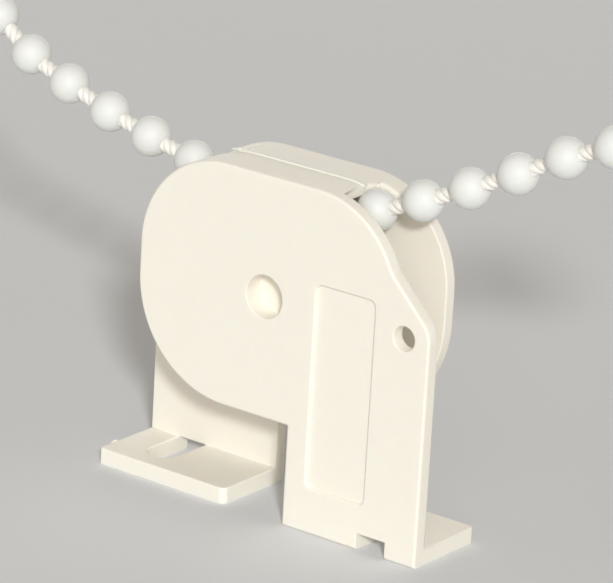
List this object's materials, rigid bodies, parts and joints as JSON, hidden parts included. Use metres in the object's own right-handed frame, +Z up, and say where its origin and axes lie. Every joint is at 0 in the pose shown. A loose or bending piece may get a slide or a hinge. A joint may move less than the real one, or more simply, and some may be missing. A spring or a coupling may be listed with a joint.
{
  "type": "blind chain tensioner",
  "caption": "White two-shell tensioner on slotted feet, with a grooved pulley inside and a looped blind's ball chain running over it under the roof.",
  "frame": {"origin": "middle of the housing's footprint, at the underside of the feet", "axes": "+X along the side plates towards the front shell's leg, +Y from the front shell to the rear shell along the pulley's axis, +Z up from the feet to the roof"},
  "size_m": [0.1084, 0.0104, 0.0551],
  "materials": {
    "shell": "satin moulded",
    "pulley": "smooth moulded",
    "ball": "smooth moulded",
    "cord": "twisted polyester",
    "clasp": "smooth moulded"
  },
  "bodies": {
    "housing": {"front_shell": "shell", "rear_shell": "shell", "chain_cord": "cord", "ball_01": "ball", "ball_02": "ball", "ball_03": "ball", "ball_04": "ball", "ball_05": "ball", "ball_06": "ball", "ball_07": "ball", "ball_08": "ball", "ball_09": "ball", "ball_10": "ball", "ball_11": "ball", "ball_12": "ball", "ball_13": "ball", "ball_14": "ball", "ball_15": "ball", "ball_16": "ball", "ball_17": "ball", "left_clasp": "clasp", "right_clasp": "clasp"},
    "pulley": {"pulley": "pulley"}
  },
  "joints": [
    {"name": "pulley_turn", "type": "hinge", "parent": "housing", "child": "pulley", "pos_m": [0, 0, 0.0239], "axis": [0, 1, 0], "continuous": true}
  ]
}
